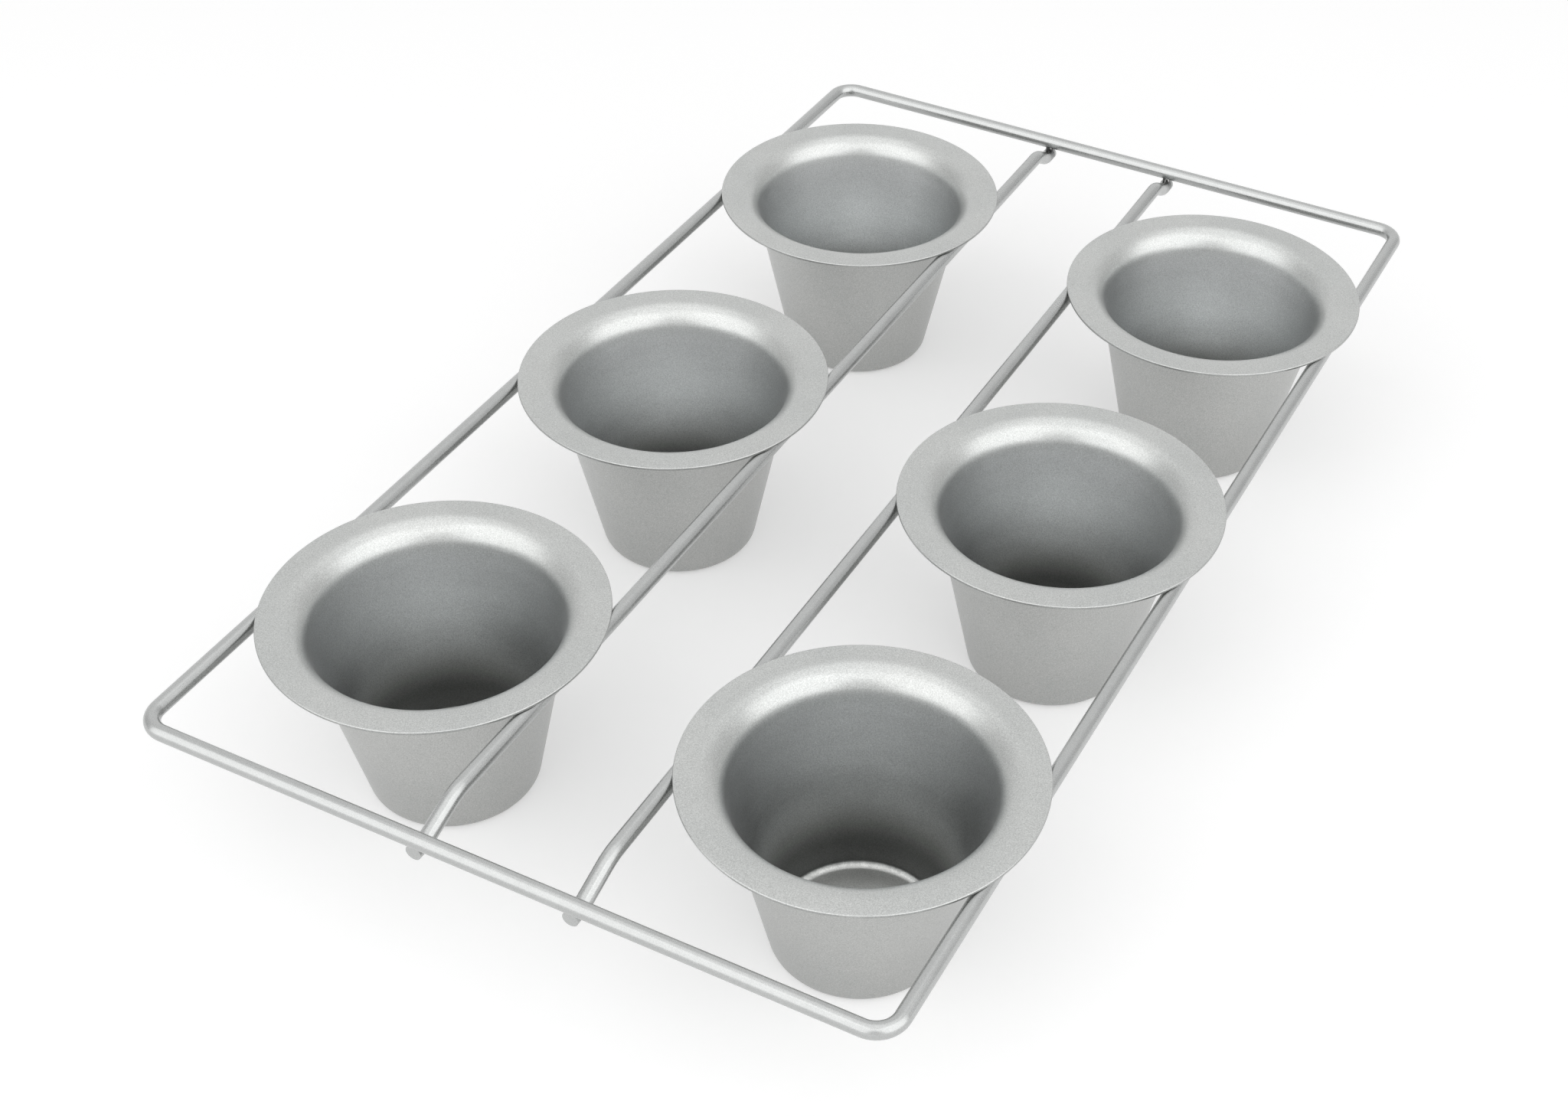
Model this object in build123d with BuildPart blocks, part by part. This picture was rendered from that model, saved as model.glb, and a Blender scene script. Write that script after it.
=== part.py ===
from build123d import *
from math import atan2, cos, degrees, pi, sqrt, tan
import os

# Popover pan: six deep drawn cups welded into a carrier of round wire.
# Millimetres. X runs across the two columns, Y along the three rows, Z up.
# The origin is midway between the cups, on the surface that their feet stand on.

# Wire and sheet
wire_diameter = 4.5
sheet = 0.9
weld_gap = 0.1

# One cup, measured on the outside of the sheet
cup_height = 60.8
mouth_radius = 37.0
foot_radius = 24.2
foot_corner = 3.3
roll_radius = 7.8
flange_flat = 5.4
rim_break = 0.3

# Layout of the cups
rows = 3
column_pitch = 130.8
row_pitch = 126.0

# Outer frame
end_clear = 19.4
frame_corner = 7.0

# Ends of the inner rails, which dip under the end wires of the frame
rail_stub = 0.6
front_dip_start = 18.0
front_dip_end = 5.0
front_dip_bend = 20.0
back_dip_start = 12.5
back_dip_end = 4.2
back_dip_bend = 8.0
under_bend = 6.0
cut_break = 0.35

# Welds
rail_weld_radius = 1.3
cup_weld_radius = 1.6
cup_weld_depth = 0.6
cup_weld_share = 0.62

# Taper of the cup's wall
wire_radius = wire_diameter / 2
underside = cup_height - sheet
taper = atan2(mouth_radius - foot_radius, underside)
sheet_across = sheet / cos(taper)
inner_foot = foot_radius + sheet * tan(taper) - sheet_across
inner_mouth = foot_radius + cup_height * tan(taper) - sheet_across

# The wires lie where the roll of the mouth runs out into the flat of the flange
under_roll = roll_radius - sheet
roll_reach = under_roll * tan((pi / 2 - taper) / 2)
wire_reach = mouth_radius + roll_reach
flange_radius = wire_reach + flange_flat
wire_level = underside - weld_gap - wire_radius
rail_drop = wire_diameter + weld_gap

# Half sizes of the frame on the wire's centre line
half_width = column_pitch / 2 + wire_reach
half_length = row_pitch * (rows - 1) / 2 + flange_radius + end_clear + wire_radius
rail_place = column_pitch / 2 - wire_reach
rail_end = half_length + rail_stub

columns = {"left": -column_pitch / 2, "right": column_pitch / 2}
row_names = ["front", "middle", "back"]
row_places = {name: (i - (rows - 1) / 2) * row_pitch for i, name in enumerate(row_names)}
long_wires = [-half_width, -rail_place, rail_place, half_width]


def finish(part, name):
    part.label = name
    export_step(part, f"parts/{name}.step")
    box = part.bounding_box()
    print(f"{name}: {box.size.X:.1f} x {box.size.Y:.1f} x {box.size.Z:.1f} mm")


os.makedirs("parts", exist_ok=True)

# Outer frame: one length of wire bent into a rounded rectangle, its ends butt welded
frame_points = [
    (0, -half_length),
    (half_width, -half_length),
    (half_width, half_length),
    (0, half_length),
]
with BuildPart() as outer_frame:
    with BuildLine(Plane.XY.offset(wire_level)) as frame_path:
        FilletPolyline(*frame_points, radius=frame_corner)
    with BuildSketch(Plane(frame_path.line @ 0, z_dir=frame_path.line % 0)):
        Circle(wire_radius)
    sweep(path=frame_path.line)
    mirror(about=Plane.YZ)
finish(outer_frame.part, "outer_frame")

# Inner rails: straight wires under the cups' flanges, dipped at both ends
rail_points = [
    (-rail_end, wire_level - rail_drop),
    (front_dip_end - half_length, wire_level - rail_drop),
    (front_dip_start - half_length, wire_level),
    (half_length - back_dip_start, wire_level),
    (half_length - back_dip_end, wire_level - rail_drop),
    (rail_end, wire_level - rail_drop),
]
rail_bends = [under_bend, front_dip_bend, back_dip_bend, under_bend]
for side, place in (("left", -rail_place), ("right", rail_place)):
    with BuildPart() as inner_rail:
        with BuildLine(Plane.YZ.offset(place)) as rail_path:
            FilletPolyline(*rail_points, radius=rail_bends)
        with BuildSketch(Plane(rail_path.line @ 0, z_dir=rail_path.line % 0)):
            Circle(wire_radius)
        sweep(path=rail_path.line)
        cut_faces = inner_rail.faces().filter_by(GeomType.PLANE)
        chamfer(cut_faces.edges(), cut_break)
    finish(inner_rail.part, f"inner_rail_{side}")

# Cups: drawn in one piece, a tapered wall between a flat floor and a rolled, flat flange
under_line = [(0, 0), (foot_radius, 0), (mouth_radius, underside), (flange_radius, underside)]
upper_line = [(0, sheet), (inner_foot, sheet), (inner_mouth, cup_height), (flange_radius, cup_height)]
for column, x in columns.items():
    for row, y in row_places.items():
        with BuildPart() as cup:
            with BuildSketch(Plane(origin=(x, y, 0), x_dir=(1, 0, 0), z_dir=(0, -1, 0))):
                with BuildLine():
                    outside = FilletPolyline(*under_line, radius=[foot_corner, under_roll])
                    inside = FilletPolyline(*upper_line, radius=[foot_corner - sheet, roll_radius])
                    Line(outside @ 0, inside @ 0)
                    Line(outside @ 1, inside @ 1)
                make_face()
            revolve(axis=Axis((x, y, 0), (0, 0, 1)))
            rim = cup.edges().filter_by(GeomType.CIRCLE).sort_by(SortBy.RADIUS)[-2:]
            fillet(rim, rim_break)
        finish(cup.part, f"cup_{row}_{column}")

# Rail welds: a nugget where each rail ends under an end wire, hollowed by both wires
nugget_place = rail_end - rail_weld_radius
with BuildPart() as rail_welds:
    crossings = [(x, y) for x in (-rail_place, rail_place) for y in (-nugget_place, nugget_place)]
    with BuildSketch(Plane.XY.offset(wire_level - rail_drop)):
        with Locations(*crossings):
            Circle(rail_weld_radius)
    extrude(amount=rail_drop)
    with BuildSketch(Plane.YZ.offset(-half_width)):
        with Locations((-half_length, wire_level), (half_length, wire_level)):
            Circle(wire_radius)
    extrude(amount=2 * half_width, mode=Mode.SUBTRACT)
    with BuildSketch(Plane.XZ.offset(-rail_end)):
        with Locations(*[(x, wire_level - rail_drop) for x in (-rail_place, rail_place)]):
            Circle(wire_radius)
    extrude(amount=2 * rail_end, mode=Mode.SUBTRACT)
finish(rail_welds.part, "rail_welds")

# Cup welds: two spots on each wire that a cup's flange crosses, hollowed by the wire
half_chord = sqrt(flange_radius ** 2 - wire_reach ** 2)
weld_places = [
    (x, y + side * cup_weld_share * half_chord)
    for x in long_wires
    for y in row_places.values()
    for side in (-1, 1)
]
with BuildPart() as cup_welds:
    with BuildSketch(Plane.XY.offset(underside - cup_weld_depth)):
        with Locations(*weld_places):
            Circle(cup_weld_radius)
    extrude(amount=cup_weld_depth)
    with BuildSketch(Plane.XZ.offset(-rail_end)):
        with Locations(*[(x, wire_level) for x in long_wires]):
            Circle(wire_radius)
    extrude(amount=2 * rail_end, mode=Mode.SUBTRACT)
finish(cup_welds.part, "cup_welds")

print(f"frame {2 * half_width + wire_diameter:.1f} x {2 * half_length + wire_diameter:.1f} mm")
print(f"flange diameter {2 * flange_radius:.1f} mm, wall taper {degrees(taper):.1f} degrees")
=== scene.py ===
import math
import bpy
import bmesh
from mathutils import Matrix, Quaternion, Vector


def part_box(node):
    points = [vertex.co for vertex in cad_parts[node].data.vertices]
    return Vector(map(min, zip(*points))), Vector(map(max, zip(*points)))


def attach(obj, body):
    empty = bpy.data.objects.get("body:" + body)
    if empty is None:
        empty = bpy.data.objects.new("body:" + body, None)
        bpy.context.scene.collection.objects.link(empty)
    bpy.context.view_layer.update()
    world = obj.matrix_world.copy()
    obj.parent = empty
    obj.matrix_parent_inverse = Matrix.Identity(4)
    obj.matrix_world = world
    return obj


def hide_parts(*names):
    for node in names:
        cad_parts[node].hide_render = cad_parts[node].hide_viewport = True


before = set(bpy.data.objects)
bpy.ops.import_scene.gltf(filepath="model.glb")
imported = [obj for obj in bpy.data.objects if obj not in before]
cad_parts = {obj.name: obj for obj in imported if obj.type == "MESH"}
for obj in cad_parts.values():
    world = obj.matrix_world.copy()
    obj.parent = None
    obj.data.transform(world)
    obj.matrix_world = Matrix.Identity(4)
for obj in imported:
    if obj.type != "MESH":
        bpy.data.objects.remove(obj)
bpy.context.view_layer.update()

# Sizes in metres. What the frame holds is read from it, the rest is said here.
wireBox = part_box("outer_frame")
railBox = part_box("inner_rail_left")
wireRadius = (wireBox[1].z - wireBox[0].z) / 2
wireLevel = (wireBox[1].z + wireBox[0].z) / 2
endWire = wireBox[1].y - wireRadius
railPlace = -(railBox[1].x + railBox[0].x) / 2
cupNames = sorted(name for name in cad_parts
                  if name.startswith("cup_") and name != "cup_welds")


class Field:  # a socket of a node tree, which can be calculated with
    def __init__(self, tree, socket=None):
        self.tree = tree
        self.socket = socket

    def node(self, kind, settings=None, sockets=None, output=0):
        added = self.tree.nodes.new(kind)
        for name, value in (settings or {}).items():
            if name == "items":  # an Index Switch starts with two of them
                for count in range(value - 2):
                    added.index_switch_items.new()
            else:
                setattr(added, name, value)
        for name, value in (sockets or {}).items():
            if isinstance(value, Field):
                self.tree.links.new(value.socket, added.inputs[name])
            else:
                added.inputs[name].default_value = value
        return Field(self.tree, added.outputs[output])

    def math(self, operation, *others):
        values = dict(enumerate((self, *others)))
        return self.node("ShaderNodeMath", {"operation": operation}, values)

    def other(self, operation, first):
        return self.node("ShaderNodeMath", {"operation": operation}, {0: first, 1: self})

    def __add__(self, value):
        return self.math("ADD", value)

    def __sub__(self, value):
        return self.math("SUBTRACT", value)

    def __mul__(self, value):
        return self.math("MULTIPLY", value)

    def __truediv__(self, value):
        return self.math("DIVIDE", value)

    def __radd__(self, value):
        return self.other("ADD", value)

    def __rsub__(self, value):
        return self.other("SUBTRACT", value)

    def __rmul__(self, value):
        return self.other("MULTIPLY", value)

    def __rtruediv__(self, value):
        return self.other("DIVIDE", value)


def axis(start, vector, name):
    return start.node("ShaderNodeSeparateXYZ", None, {0: vector}, name)


def rise(value, low, high):
    # 0 up to low, 1 from high on, and smooth between
    return value.node("ShaderNodeMapRange", {"interpolation_type": "SMOOTHSTEP"},
                      {"Value": value, "From Min": low, "From Max": high})


def blend(share, first, second):
    # first where the share is 0, second where it is 1
    return share * (second - first) + first


# Building with trees

seamGap = 1e-7  # points closer than this become one


def newTree(name, inputs):
    tree = bpy.data.node_groups.new(name, "GeometryNodeTree")
    tree.is_modifier = True
    tree.interface.new_socket("Geometry", in_out="OUTPUT", socket_type="NodeSocketGeometry")
    for key in inputs:
        tree.interface.new_socket(key, in_out="INPUT", socket_type="NodeSocketFloat")
    source = tree.nodes.new("NodeGroupInput")
    return Field(tree), {key: Field(tree, source.outputs[key]) for key in inputs}


def closeTree(start, geometry, material):
    smooth = start.node("GeometryNodeSetShadeSmooth", None, {"Geometry": geometry})
    real = start.node("GeometryNodeRealizeInstances", None, {"Geometry": smooth})
    painted = start.node("GeometryNodeSetMaterial", None, {"Geometry": real, "Material": material})
    end = start.tree.nodes.new("NodeGroupOutput")
    start.tree.links.new(painted.socket, end.inputs[0])


def meshFrom(start, name, values):
    # runs the tree on an empty mesh and keeps the result as a plain mesh
    piece = bpy.data.objects.new(name, bpy.data.meshes.new(name))
    bpy.context.scene.collection.objects.link(piece)
    modifier = piece.modifiers.new("Shape", "NODES")
    modifier.node_group = start.tree
    for socket in start.tree.interface.items_tree:
        if socket.in_out == "INPUT":
            modifier[socket.identifier] = float(values[socket.name])
    bpy.context.view_layer.update()
    shaped = piece.evaluated_get(bpy.context.evaluated_depsgraph_get())
    mesh = bpy.data.meshes.new_from_object(shaped)
    piece.modifiers.remove(modifier)
    piece.data = mesh
    mesh.name = name
    shell = bmesh.new()
    shell.from_mesh(mesh)
    bmesh.ops.remove_doubles(shell, verts=shell.verts, dist=seamGap)
    bmesh.ops.recalc_face_normals(shell, faces=shell.faces)
    shell.to_mesh(mesh)
    shell.free()
    return piece


def pathOf(start, points, radii, step, arcSteps):
    # a chain of straight runs with rounded corners, cut into short steps
    index = start.node("GeometryNodeInputIndex")
    many = len(points)
    line = start.node("GeometryNodeMeshLine", None, {"Count": many}, "Mesh")
    places = {"Index": index}
    bends = {"Index": index}
    for count, (point, radius) in enumerate(zip(points, radii), 1):
        places[count] = start.node("ShaderNodeCombineXYZ", None, dict(enumerate(point)))
        bends[count] = radius
    place = start.node("GeometryNodeIndexSwitch", {"data_type": "VECTOR", "items": many}, places)
    bend = start.node("GeometryNodeIndexSwitch", {"data_type": "FLOAT", "items": many}, bends)
    placed = start.node("GeometryNodeSetPosition", None, {"Geometry": line, "Position": place})
    chain = start.node("GeometryNodeMeshToCurve", None, {"Mesh": placed})
    return roundedPath(start, chain, bend, step, arcSteps)


def roundedPath(start, chain, bend, step, arcSteps):
    rounded = start.node("GeometryNodeFilletCurve", {"mode": "POLY"},
                         {"Curve": chain, "Radius": bend, "Count": arcSteps})
    here = start.node("GeometryNodeInputPosition")
    index = start.node("GeometryNodeInputIndex")
    following = start.node("GeometryNodeFieldAtIndex",
                           {"data_type": "FLOAT_VECTOR", "domain": "POINT"},
                           {"Index": index + 1, "Value": here})
    gap = start.node("ShaderNodeVectorMath", {"operation": "DISTANCE"},
                     {0: here, 1: following}, "Value")
    cuts = (gap / step).math("FLOOR")
    return start.node("GeometryNodeSubdivideCurve", None, {"Curve": rounded, "Cuts": cuts})


# Finishes, with painted light and shade

fineNoise = {"Detail": 3.0, "Roughness": 0.7}
softNoise = {"Detail": 2.0, "Roughness": 0.5}
spotNoise = {"Detail": 1.0, "Roughness": 0.5}


def noise(start, place, size, character):
    return start.node("ShaderNodeTexNoise", None, dict(character, Vector=place, Scale=1 / size))


def swing(pattern, amount):
    # a noise about its middle value
    return (pattern - 0.5) * amount


def mixColour(start, share, first, second):
    # inputs 6 and 7 and output 2 are the ones that hold colours
    return start.node("ShaderNodeMix", {"data_type": "RGBA"}, {0: share, 6: first, 7: second}, 2)


def openMetal(name):
    material = bpy.data.materials.new(name)
    material.use_nodes = True
    start = Field(material.node_tree)
    return material, start, start.node("ShaderNodeTexCoord", None, None, "Object")


def coated(start, place, finishAndPaintedLight):
    # grain, mottle and slow clouds, and the shade that they make together
    grain = noise(start, place, finishAndPaintedLight["grainSize"], fineNoise)
    mottle = noise(start, place, finishAndPaintedLight["mottleSize"], softNoise)
    cloud = noise(start, place, finishAndPaintedLight["cloudSize"], softNoise)
    shade = swing(grain, finishAndPaintedLight["grainShade"]) + swing(mottle, finishAndPaintedLight["mottleShade"]) + 1
    return grain, mottle, cloud, shade + swing(cloud, finishAndPaintedLight["cloudShade"])


def closeMetal(start, finishAndPaintedLight, colour, shade, grain, polish):
    # an even fine grain in colour, roughness and relief
    shader = start.tree.nodes["Principled BSDF"]
    shader.inputs["Metallic"].default_value = 1
    shaded = start.node("ShaderNodeVectorMath", {"operation": "SCALE"},
                        {0: colour, "Scale": shade})
    rough = swing(grain, finishAndPaintedLight["grainRoughness"]) + polish + finishAndPaintedLight["roughness"]
    relief = start.node("ShaderNodeBump", None,
                        {"Height": grain, "Distance": finishAndPaintedLight["grainDepth"], "Strength": 1.0})
    start.tree.links.new(shaded.socket, shader.inputs["Base Color"])
    start.tree.links.new(rough.socket, shader.inputs["Roughness"])
    start.tree.links.new(relief.socket, shader.inputs["Normal"])


# In the finishes, a Facing is how far a face looks up, from -1 to 1, and a Level is a height.
# A pair of numbers is where a change starts and where it is complete.

sheetFinishAndPaintedLight = {
    "colour": (0.519, 0.530, 0.521, 1),
    "outside": (0.528, 0.533, 0.522, 1),
    # painted light: the inside's colours are much lighter than the outside, more so from the
    # middle of the wall down
    "upper": (0.604, 0.612, 0.613, 1),  # the inside, under the rolled mouth
    "middle": (0.79, 0.805, 0.805, 1),
    "lower": (0.81, 0.82, 0.80, 1),
    "roughness": 0.34,
    "grainSize": 0.00033,
    "grainShade": 1.2,
    "grainRoughness": 0.10,
    "grainDepth": 0.000009,
    "mottleSize": 0.0022,
    "mottleShade": 0.05,
    "cloudSize": 0.022,
    "cloudShade": 0.10,
    "cloudRoughness": 0.08,
    "coatPatches": (0.35, 0.65),  # clouds where the colour leans to that of the outside
    "coatPatchShare": 0.4,
    "bandSize": 0.009,  # faint bands around the inside, left by the drawing
    "bandStretch": (0.6, 0.6, 3.0),
    "bandShade": 0.11,
    "insideFacing": (0.02, 0.15),
    "paintedInsideLevel": (0.050, 0.0585),  # the inside's colours end in the rolled mouth
    "middleLevel": (0.030, 0.050),
    "deepLevel": (0.008, 0.0247),  # painted shade: the inside is darker from here down
    "deepShade": 0.79,
    "ringFacing": (0.35, 0.65),  # the painted shade is lighter on the rounded edge of the floor, in patches, which keeps its highlight bright there
    "ringPatches": (0.3, 0.6),
    "ringPatchShare": 0.3,
    "ringShade": 0.42,
    # painted shade on the inside floor, less than on the wall
    "floorFacing": (0.88, 0.98),
    "floorShade": 0.50,
    # painted shade: the outside of the cups, which faces down, is darker
    "outerFacing": (-0.15, 0.0),
    "outerShade": 0.10,
    "footLevel": (0.005, 0.034),  # painted shade: the outside is darker from here down towards the foot
    "footShade": 0.09,
    "edgeLevel": (0.0596, 0.0600),  # painted shade: the rim's side is darker in places, which dims its bright reflection
    "edgeFacing": (0.4, 0.85),
    "edgePatches": (0.2, 0.6),
    "edgeShade": 0.30,
}


def satinSheet():
    finishAndPaintedLight = sheetFinishAndPaintedLight
    material, start, place = openMetal("satinSheet")
    up = axis(start, start.node("ShaderNodeTexCoord", None, None, "Normal"), "Z")
    level = axis(start, place, "Z")
    grain, mottle, cloud, shade = coated(start, place, finishAndPaintedLight)
    flattened = start.node("ShaderNodeVectorMath", {"operation": "MULTIPLY"},
                           {0: place, 1: finishAndPaintedLight["bandStretch"]})
    band = noise(start, flattened, finishAndPaintedLight["bandSize"], softNoise)

    inside = rise(up, *finishAndPaintedLight["insideFacing"])
    # painted shade: the inside darkens towards the bottom, most on the wall, less on the floor
    deep = inside * (1 - rise(level, *finishAndPaintedLight["deepLevel"]))
    bottom = rise(up, *finishAndPaintedLight["floorFacing"])
    # less painted shade on the floor's rounded edge, in patches, to keep its highlight bright
    ringBreakup = blend(rise(mottle, *finishAndPaintedLight["ringPatches"]), 1 - finishAndPaintedLight["ringPatchShare"], 1)
    ring = rise(up, *finishAndPaintedLight["ringFacing"]) * (1 - bottom) * ringBreakup
    deepPaintedShade = blend(ring, finishAndPaintedLight["deepShade"], finishAndPaintedLight["ringShade"])
    deepPaintedShade = bottom * (finishAndPaintedLight["floorShade"] - finishAndPaintedLight["deepShade"]) + deepPaintedShade
    # painted shade on the outside, which faces down, and more of it towards the foot
    outer = 1 - rise(up, *finishAndPaintedLight["outerFacing"])
    foot = outer * (1 - rise(level, *finishAndPaintedLight["footLevel"]))
    # painted shade on the rim's side, in places, dimming its reflection
    edge = rise(level, *finishAndPaintedLight["edgeLevel"]) * (1 - rise(up, *finishAndPaintedLight["edgeFacing"]))
    edge = edge * rise(band, *finishAndPaintedLight["edgePatches"])

    shade = shade + swing(band, finishAndPaintedLight["bandShade"]) * inside
    shade = shade * (1 - deep * deepPaintedShade) * (1 - edge * finishAndPaintedLight["edgeShade"])
    shade = shade * (1 - outer * finishAndPaintedLight["outerShade"]) * (1 - foot * finishAndPaintedLight["footShade"])
    patches = rise(cloud, *finishAndPaintedLight["coatPatches"]) * finishAndPaintedLight["coatPatchShare"]
    coat = mixColour(start, patches + outer * (1 - finishAndPaintedLight["coatPatchShare"]),
                     finishAndPaintedLight["colour"], finishAndPaintedLight["outside"])
    # painted light: the inside's colours, lighter than the outside, set by height
    insidePaintedLight = mixColour(start, rise(level, *finishAndPaintedLight["middleLevel"]),
                       finishAndPaintedLight["middle"], finishAndPaintedLight["upper"])
    insidePaintedLight = mixColour(start, deep, insidePaintedLight, finishAndPaintedLight["lower"])
    paintedInsideShare = inside * (1 - rise(level, *finishAndPaintedLight["paintedInsideLevel"]))
    colour = mixColour(start, paintedInsideShare, coat, insidePaintedLight)
    closeMetal(start, finishAndPaintedLight, colour, shade, grain, swing(cloud, finishAndPaintedLight["cloudRoughness"]))
    return material


wireFinishAndPaintedShade = {
    "colour": (0.469, 0.477, 0.473, 1),
    "roughness": 0.27,
    "grainSize": 0.00032,
    "grainShade": 0.5,
    "grainRoughness": 0.10,
    "grainDepth": 0.000005,
    "mottleSize": 0.002,
    "mottleShade": 0.10,
    "cloudSize": 0.012,
    "cloudShade": 0.10,
    "cloudRoughness": 0.08,
    "heatAndShadeStart": 0.0012,  # the rails are discoloured by their welds, and given painted shade, where they dip under the end wires
    "heatAndShadePatches": (0.2, 0.6),
    "heatAndShadeReach": 0.0048,
    "heatAndShadeAmount": 0.45,
    "backReach": 0.0080,  # the painted shade is deeper and wider at the back crossings
    "backShade": 0.62,
    "backPlace": (0.0, 0.1),
    "stubPlace": (-0.001, 0.0002),  # none of this darkening on the ends past the end wires
}


def satinWire():
    finishAndPaintedLight = wireFinishAndPaintedShade
    material, start, place = openMetal("satinWire")
    grain, mottle, cloud, shade = coated(start, place, finishAndPaintedLight)
    # welding marks and painted shade: the rails are darker near where they dip under the end
    # wires, more at the back
    aside = axis(start, place, "X").math("ABSOLUTE") - railPlace
    along = axis(start, place, "Y").math("ABSOLUTE") - endWire
    reach = (aside * aside + along * along).math("SQRT")
    under = 1 - rise(axis(start, place, "Z"), wireLevel - wireRadius, wireLevel - wireRadius / 2)
    back = rise(axis(start, place, "Y"), *finishAndPaintedLight["backPlace"])
    spread = blend(back, finishAndPaintedLight["heatAndShadeReach"], finishAndPaintedLight["backReach"])
    heatAndShadeDepth = blend(back, finishAndPaintedLight["heatAndShadeAmount"], finishAndPaintedLight["backShade"])
    heatAndShade = (1 - rise(reach, finishAndPaintedLight["heatAndShadeStart"], spread)) * rise(mottle, *finishAndPaintedLight["heatAndShadePatches"])
    heatAndShade = heatAndShade * under * (1 - rise(along, *finishAndPaintedLight["stubPlace"]))
    shade = shade * (1 - heatAndShade * heatAndShadeDepth)
    colour = start.node("ShaderNodeRGB")
    colour.socket.default_value = finishAndPaintedLight["colour"]
    closeMetal(start, finishAndPaintedLight, colour, shade, grain, swing(cloud, finishAndPaintedLight["cloudRoughness"]))
    return material


weldFinishAndPaintedShade = {
    # painted shade: the nuggets are dark, for the shaded gaps where the wires cross
    "colour": (0.09, 0.09, 0.088, 1),
    "bright": (0.62, 0.62, 0.61, 1),
    "spotSize": 0.0016,
    "spotPatches": (0.52, 0.62),
    "roughness": 0.38,
    "grainSize": 0.0005,
    "grainShade": 0.9,
    "grainRoughness": 0.10,
    "grainDull": 0.05,
    "grainDepth": 0.00004,
}


def weldMetal():
    finishAndPaintedLight = weldFinishAndPaintedShade
    material, start, place = openMetal("weldMetal")
    grain = noise(start, place, finishAndPaintedLight["grainSize"], fineNoise)
    spot = rise(noise(start, place, finishAndPaintedLight["spotSize"], spotNoise), *finishAndPaintedLight["spotPatches"])
    # painted shade: dark nuggets, with spots of bright metal
    colour = mixColour(start, spot, finishAndPaintedLight["colour"], finishAndPaintedLight["bright"])
    shade = swing(grain, finishAndPaintedLight["grainShade"]) + 1
    closeMetal(start, finishAndPaintedLight, colour, shade, grain, grain * finishAndPaintedLight["grainDull"])
    return material


sheetMaterial = satinSheet()
wireMaterial = satinWire()
weldMaterial = weldMetal()
print("finishes made")


# Cups

cup = {
    "sheet": 0.0009,
    "mouthRadius": 0.037,  # outside of the wall, carried up to the flange
    "footRadius": 0.0242,
    "footCorner": 0.0033,
    "rollRadius": 0.0078,  # upper side of the rolled mouth
    "rimBreak": 0.0003,
    "segments": 240,
    "step": 0.0016,
    "arcSteps": 9,
    "mergeGap": 1e-6,
}


def cupShape():
    start, size = newTree("cupShape", ["sheet", "mouthRadius", "footRadius", "footCorner",
                                       "rollRadius", "rimBreak", "flangeRadius", "height",
                                       "segments", "step"])
    under = size["height"] - size["sheet"]
    slope = (size["mouthRadius"] - size["footRadius"]) / under
    across = size["sheet"] * (slope * slope + 1).math("SQRT")
    footInside = size["footRadius"] + size["sheet"] * slope - across
    mouthInside = size["footRadius"] + size["height"] * slope - across
    points = [
        (0.0, 0.0, 0.0),
        (size["footRadius"], 0.0, 0.0),
        (size["mouthRadius"], 0.0, under),
        (size["flangeRadius"], 0.0, under),
        (size["flangeRadius"], 0.0, size["height"]),
        (mouthInside, 0.0, size["height"]),
        (footInside, 0.0, size["sheet"]),
        (0.0, 0.0, size["sheet"]),
    ]
    radii = [0.0, size["footCorner"], size["rollRadius"] - size["sheet"], size["rimBreak"],
             size["rimBreak"], size["rollRadius"], size["footCorner"] - size["sheet"], 0.0]
    outline = pathOf(start, points, radii, size["step"], cup["arcSteps"])

    # the outline is turned about the cup's axis by placing the points of a grid
    rings = start.node("GeometryNodeAttributeDomainSize", {"component": "CURVE"},
                       {"Geometry": outline})
    sides = size["segments"]
    grid = start.node("GeometryNodeMeshGrid", None,
                      {"Vertices X": sides + 1, "Vertices Y": rings}, "Mesh")
    index = start.node("GeometryNodeInputIndex")
    column = ((index + 0.5) / rings).math("FLOOR")  # the half keeps it off whole numbers
    ring = index - column * rings
    here = start.node("GeometryNodeInputPosition")
    place = start.node("GeometryNodeSampleIndex", {"data_type": "FLOAT_VECTOR", "domain": "POINT"},
                       {"Geometry": outline, "Value": here, "Index": ring})
    reach = axis(start, place, "X")
    level = axis(start, place, "Z")
    turn = column / sides * math.tau
    spun = start.node("ShaderNodeCombineXYZ", None,
                      {0: reach * turn.math("COSINE"), 1: reach * turn.math("SINE"), 2: level})
    bowl = start.node("GeometryNodeSetPosition", None, {"Geometry": grid, "Position": spun})
    closed = start.node("GeometryNodeMergeByDistance", None,
                        {"Geometry": bowl, "Distance": cup["mergeGap"]})
    closeTree(start, closed, sheetMaterial)
    return start


bowlTree = cupShape()
for name in cupNames:
    low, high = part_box(name)
    middle = (low + high) / 2
    sizes = dict(cup, flangeRadius=(high.y - low.y) / 2, height=high.z - low.z)
    piece = meshFrom(bowlTree, name.replace("cup_", "bowl_"), sizes)
    for vertex in piece.data.vertices:
        vertex.co += Vector((middle.x, middle.y, low.z))
    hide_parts(name)
    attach(piece, "root")
print("cups made:", len(cupNames))


# Wires

wires = {
    "frameCorner": 0.007,
    "sides": 40,
    "step": 0.004,
    "arcSteps": 14,
    "frontDipStart": 0.018,  # measured from the middle of the end wire
    "frontDipEnd": 0.005,
    "frontBend": 0.020,
    "backDipStart": 0.0125,
    "backDipEnd": 0.0042,
    "backBend": 0.008,
    "underBend": 0.006,
}


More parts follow.
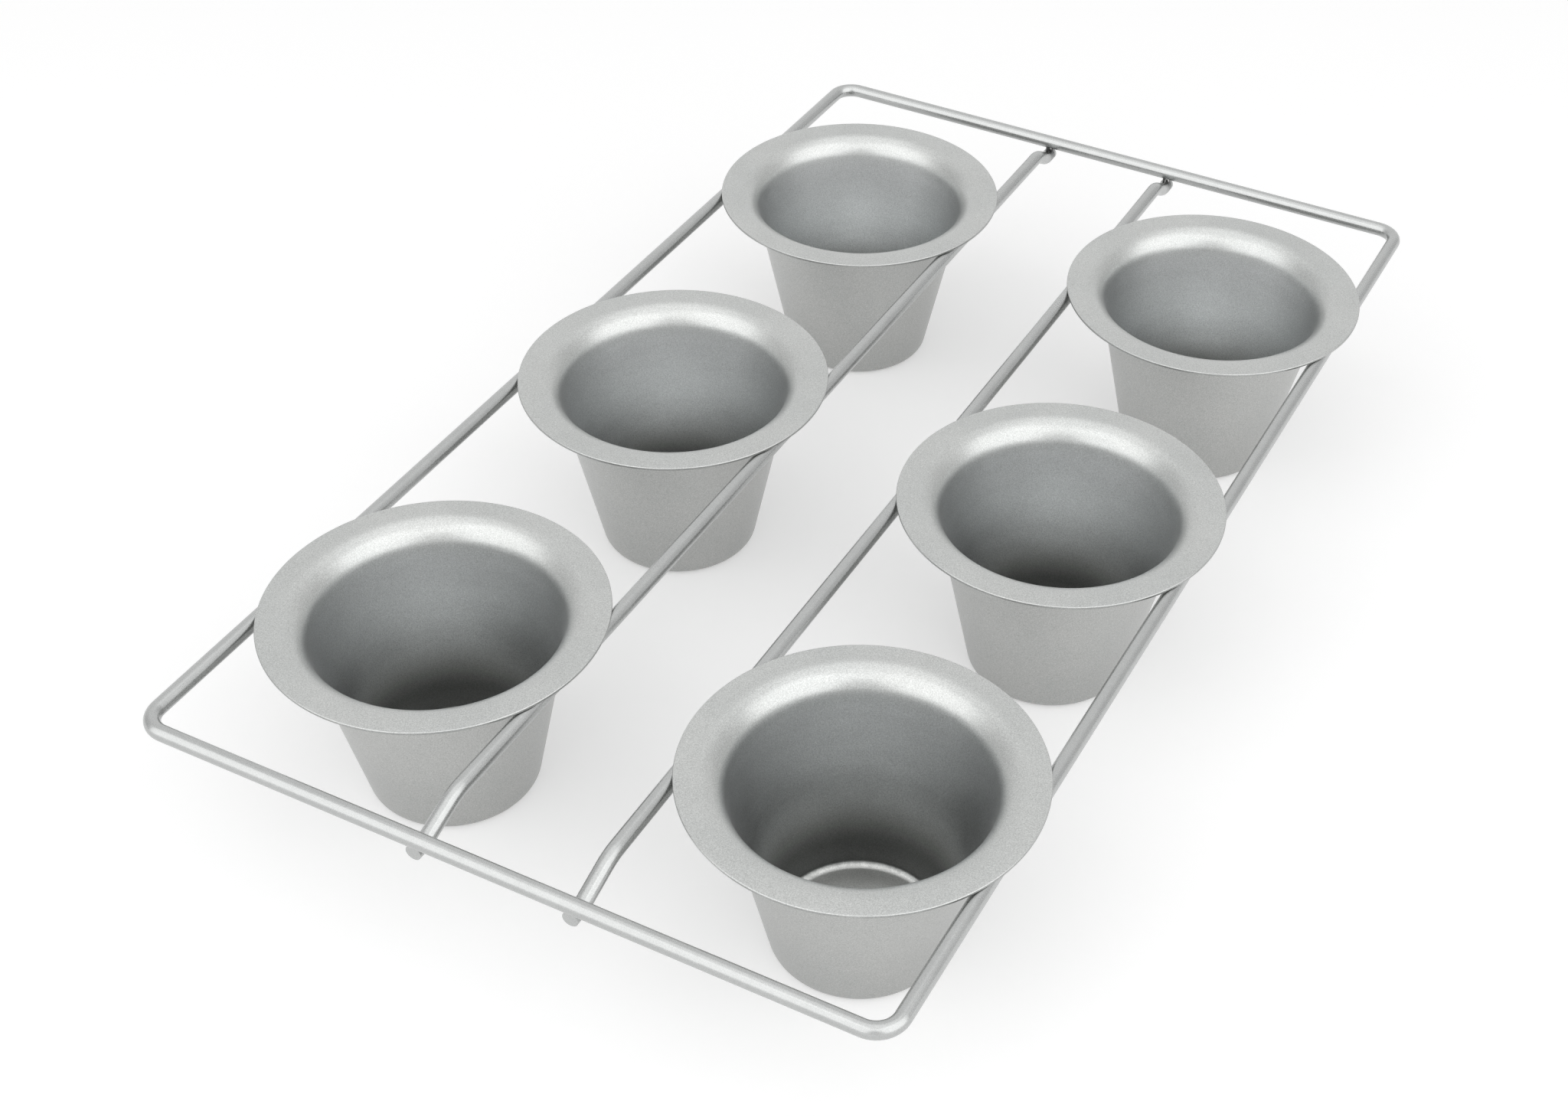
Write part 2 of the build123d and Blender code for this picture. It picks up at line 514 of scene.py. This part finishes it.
def roundWire(start, path, radius, capped):
    section = start.node("GeometryNodeCurvePrimitiveCircle", {"mode": "RADIUS"},
                         {"Resolution": wires["sides"], "Radius": radius})
    return start.node("GeometryNodeCurveToMesh", None,
                      {"Curve": path, "Profile Curve": section, "Fill Caps": capped})


def frameShape():
    start, size = newTree("frameShape", ["width", "length", "level", "radius", "corner", "step"])
    loop = start.node("GeometryNodeCurvePrimitiveQuadrilateral", {"mode": "RECTANGLE"},
                      {"Width": size["width"], "Height": size["length"]})
    flat = roundedPath(start, loop, size["corner"], size["step"], wires["arcSteps"])
    lift = start.node("ShaderNodeCombineXYZ", None, {2: size["level"]})
    path = start.node("GeometryNodeSetPosition", None, {"Geometry": flat, "Offset": lift})
    closeTree(start, roundWire(start, path, size["radius"], False), wireMaterial)
    return start


def railShape():
    start, size = newTree("railShape", ["place", "low", "level", "front", "frontEnd", "frontStart",
                                        "frontBend", "backStart", "backEnd", "backBend", "back",
                                        "underBend", "radius", "step"])
    points = [
        (size["place"], size["front"], size["low"]),
        (size["place"], size["frontEnd"], size["low"]),
        (size["place"], size["frontStart"], size["level"]),
        (size["place"], size["backStart"], size["level"]),
        (size["place"], size["backEnd"], size["low"]),
        (size["place"], size["back"], size["low"]),
    ]
    radii = [0.0, size["underBend"], size["frontBend"], size["backBend"], size["underBend"], 0.0]
    path = pathOf(start, points, radii, size["step"], wires["arcSteps"])
    closeTree(start, roundWire(start, path, size["radius"], True), wireMaterial)
    return start


framePiece = meshFrom(frameShape(), "carrier_loop", {
    "width": wireBox[1].x - wireBox[0].x - 2 * wireRadius,
    "length": wireBox[1].y - wireBox[0].y - 2 * wireRadius,
    "level": wireLevel,
    "radius": wireRadius,
    "corner": wires["frameCorner"],
    "step": wires["step"],
})
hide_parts("outer_frame")
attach(framePiece, "root")

railTree = railShape()
for side in ("left", "right"):
    low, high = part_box("inner_rail_" + side)
    rail = meshFrom(railTree, "rail_" + side, {
        "place": (low.x + high.x) / 2,
        "low": low.z + wireRadius,
        "level": high.z - wireRadius,
        "front": low.y,
        "frontEnd": wires["frontDipEnd"] - endWire,
        "frontStart": wires["frontDipStart"] - endWire,
        "frontBend": wires["frontBend"],
        "backStart": endWire - wires["backDipStart"],
        "backEnd": endWire - wires["backDipEnd"],
        "backBend": wires["backBend"],
        "back": high.y,
        "underBend": wires["underBend"],
        "radius": wireRadius,
        "step": wires["step"],
    })
    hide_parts("inner_rail_" + side)
    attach(rail, "root")
for name in ("rail_welds", "cup_welds"):
    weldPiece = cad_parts[name]
    weldPiece.data.materials.clear()
    weldPiece.data.materials.append(weldMaterial)
print("wires and welds made")


# Stage

stage = {
    "floorSize": 12.0,
    "floorColour": (0.80, 0.80, 0.80, 1),
    "floorGlow": 0.33,
    "farGlow": 0.70,  # keeps the floor white where the lamps don't reach
    "farPlace": (0.5, 2.0),
    "worldColour": (1, 1, 1, 1),
    "worldStrength": 0.5,
    "behind": (-0.5, 0.866, 0),  # level, about the way that the camera looks
    "sideShade": 0.24,  # the metal mirrors a darker room at both sides of that way
    "sideStart": (-0.2, 0.15),
    "sideEnd": (0.5, 0.8),
    "sideTop": (0.5, 0.8),
}


def seenRay(start):
    camera = start.node("ShaderNodeLightPath", None, None, "Is Camera Ray")
    glossy = start.node("ShaderNodeLightPath", None, None, "Is Glossy Ray")
    through = start.node("ShaderNodeLightPath", None, None, "Is Transmission Ray")
    return camera.math("MAXIMUM", glossy).math("MAXIMUM", through)


def paleFloor():
    material = bpy.data.materials.new("paleFloor")
    material.use_nodes = True
    tree = material.node_tree
    tree.nodes.clear()
    start = Field(tree)
    matt = start.node("ShaderNodeBsdfDiffuse", None, {"Color": stage["floorColour"]})
    faint = start.node("ShaderNodeBsdfDiffuse", None, {"Color": stage["floorColour"]})
    place = start.node("ShaderNodeTexCoord", None, None, "Object")
    distance = start.node("ShaderNodeVectorMath", {"operation": "LENGTH"}, {0: place}, "Value")
    strength = blend(rise(distance, *stage["farPlace"]), stage["floorGlow"], stage["farGlow"])
    glow = start.node("ShaderNodeEmission", None, {"Strength": strength})
    bright = start.node("ShaderNodeAddShader", None, {0: faint, 1: glow})
    mixed = start.node("ShaderNodeMixShader", None, {0: seenRay(start), 1: matt, 2: bright})
    end = tree.nodes.new("ShaderNodeOutputMaterial")
    tree.links.new(mixed.socket, end.inputs["Surface"])
    return material


half = stage["floorSize"] / 2
corners = [(-half, -half, 0), (half, -half, 0), (half, half, 0), (-half, half, 0)]
floorMesh = bpy.data.meshes.new("floor")
floorMesh.from_pydata(corners, [], [(0, 1, 2, 3)])
floorMesh.materials.append(paleFloor())
floor = bpy.data.objects.new("floor", floorMesh)
bpy.context.scene.collection.objects.link(floor)

world = bpy.data.worlds.new("studio")
bpy.context.scene.world = world
world.use_nodes = True
skyTree = world.node_tree
skyTree.nodes.clear()
sky = Field(skyTree)
glance = sky.node("ShaderNodeTexCoord", None, None, "Generated")
ahead = sky.node("ShaderNodeVectorMath", {"operation": "DOT_PRODUCT"},
                 {0: glance, 1: stage["behind"]}, "Value")
side = rise(ahead, *stage["sideStart"]) * (1 - rise(ahead, *stage["sideEnd"]))
side = side * (1 - rise(axis(sky, glance, "Z"), *stage["sideTop"]))
mirrored = sky.node("ShaderNodeLightPath", None, None, "Is Glossy Ray")
strength = blend(seenRay(sky), stage["worldStrength"], 1)
strength = strength * (1 - side * mirrored * stage["sideShade"])
background = sky.node("ShaderNodeBackground", None,
                      {"Color": stage["worldColour"], "Strength": strength})
skyEnd = skyTree.nodes.new("ShaderNodeOutputWorld")
skyTree.links.new(background.socket, skyEnd.inputs["Surface"])

lamps = {  # softboxes, seen from the middle of the pan: azimuth from +X, then elevation
    "left": {"azimuth": -114, "elevation": 37, "distance": 1.6, "size": (2.0, 1.9), "glow": 0.80},
    "right": {"azimuth": -12, "elevation": 37, "distance": 1.6, "size": (2.0, 1.9), "glow": 0.87},
    "above": {"azimuth": -63, "elevation": 89, "distance": 1.6, "size": (1.5, 1.5), "glow": 0.45},
}
for name, lamp in lamps.items():
    data = bpy.data.lights.new(name, "AREA")
    data.shape = "RECTANGLE"
    data.size, data.size_y = lamp["size"]
    data.energy = lamp["glow"] * math.pi * data.size * data.size_y
    turn, tilt = math.radians(lamp["azimuth"]), math.radians(lamp["elevation"])
    level = math.cos(tilt)
    way = Vector((level * math.cos(turn), level * math.sin(turn), math.sin(tilt)))
    light = bpy.data.objects.new(name, data)
    light.location = way * lamp["distance"]
    light.rotation_euler = (-light.location).to_track_quat("-Z", "Y").to_euler()
    bpy.context.scene.collection.objects.link(light)

view = {  # the camera stands where the photograph was taken from
    "place": (0.24378, -0.48881, 0.46786),
    "aim": (0.0290, -0.0446, 0.0574),
    "roll": 1.67,
    "lens": 51.98,
    "shift": (-0.0611, -0.0013),
    "near": 0.01,
}
cameraData = bpy.data.cameras.new("camera")
cameraData.lens = view["lens"]
cameraData.shift_x, cameraData.shift_y = view["shift"]
cameraData.clip_start = view["near"]
camera = bpy.data.objects.new("camera", cameraData)
look = (Vector(view["aim"]) - Vector(view["place"])).to_track_quat("-Z", "Y")
camera.location = view["place"]
camera.rotation_mode = "QUATERNION"
camera.rotation_quaternion = look @ Quaternion((0, 0, 1), math.radians(view["roll"]))
bpy.context.scene.collection.objects.link(camera)
bpy.context.scene.camera = camera
bpy.context.scene.view_settings.view_transform = "Standard"
print("stage, lamps and camera set")
